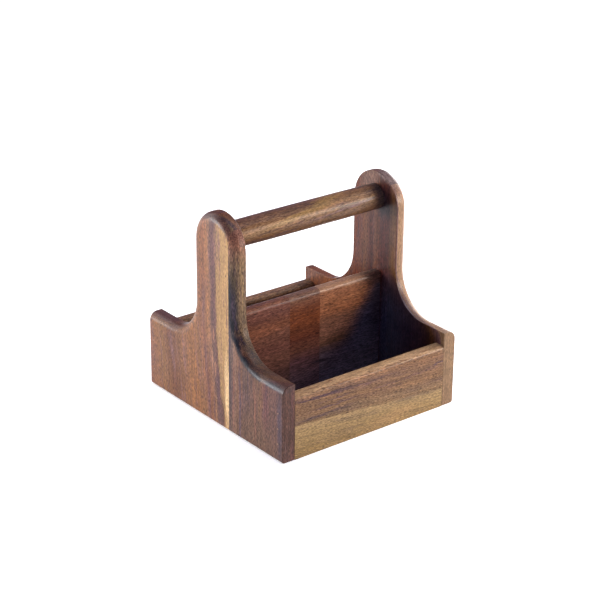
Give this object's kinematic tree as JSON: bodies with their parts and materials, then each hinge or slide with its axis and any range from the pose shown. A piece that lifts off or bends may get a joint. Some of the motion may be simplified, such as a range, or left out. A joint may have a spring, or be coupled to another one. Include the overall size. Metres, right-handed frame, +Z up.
{
  "type": "table caddy",
  "caption": "Wooden table caddy with shaped ends, a round carrying handle between them, low front and back panels and an upright divider between open bins.",
  "frame": {"origin": "middle of the footprint at the height of the surface it stands on", "axes": "+X along the handle from the left end to the right end, +Y from the front panel to the back panel, +Z up"},
  "size_m": [0.2, 0.204, 0.202],
  "materials": {
    "end_front_wood": "satin oil",
    "end_rear_wood": "satin oil",
    "front_panel_wood": "satin oil",
    "back_panel_wood": "satin oil",
    "divider_wood": "satin oil",
    "base_wood": "satin oil",
    "handle_wood": "satin oil",
    "nail_steel": "bright drawn wire",
    "wood_filler": "sanded wood filler"
  },
  "bodies": {
    "root": {"left_end_front_stave": "end_front_wood", "left_end_rear_stave": "end_rear_wood", "right_end_front_stave": "end_front_wood", "right_end_rear_stave": "end_rear_wood", "front_panel": "front_panel_wood", "back_panel": "back_panel_wood", "divider_left_block": "divider_wood", "divider_middle_block": "divider_wood", "divider_right_block": "divider_wood", "base_front_stave": "base_wood", "base_rear_stave": "base_wood", "handle_rod": "handle_wood", "left_front_brads": "nail_steel", "left_back_brads": "nail_steel", "left_divider_brads": "nail_steel", "right_front_brads": "nail_steel", "right_back_brads": "nail_steel", "right_divider_brads": "nail_steel", "left_brad_fillers": "wood_filler", "right_brad_fillers": "wood_filler"}
  },
  "joints": []
}
